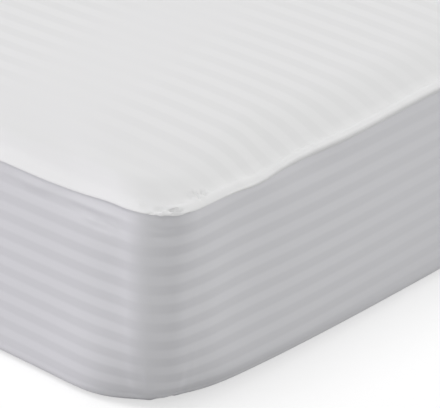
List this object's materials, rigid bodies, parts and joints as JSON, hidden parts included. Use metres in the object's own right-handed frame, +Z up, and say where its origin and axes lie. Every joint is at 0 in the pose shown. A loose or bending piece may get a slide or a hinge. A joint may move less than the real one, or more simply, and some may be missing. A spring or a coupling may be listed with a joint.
{
  "type": "fitted mattress cover on a mattress",
  "caption": "Fitted boxed mattress cover in satin-striped cotton: a domed top panel seamed to a side band that turns under the mattress inside it.",
  "frame": {"origin": "centre of the bounding box, on the level of the hem that the mattress rests on", "axes": "+X along the bed towards the foot end, +Y across it, +Z up"},
  "size_m": [1.9052, 0.9066, 0.2468],
  "materials": {
    "satin_stripe_top": "white cotton woven in even satin and plain stripes of one colour that run along the bed",
    "satin_stripe_band": "white cotton woven in even satin and plain stripes of one colour that run level round the sides",
    "plain_ticking": "plain off-white mattress ticking, seen only underneath"
  },
  "bodies": {
    "root": {"top_panel": "satin_stripe_top", "side_band": "satin_stripe_band", "mattress": "plain_ticking"}
  },
  "joints": []
}
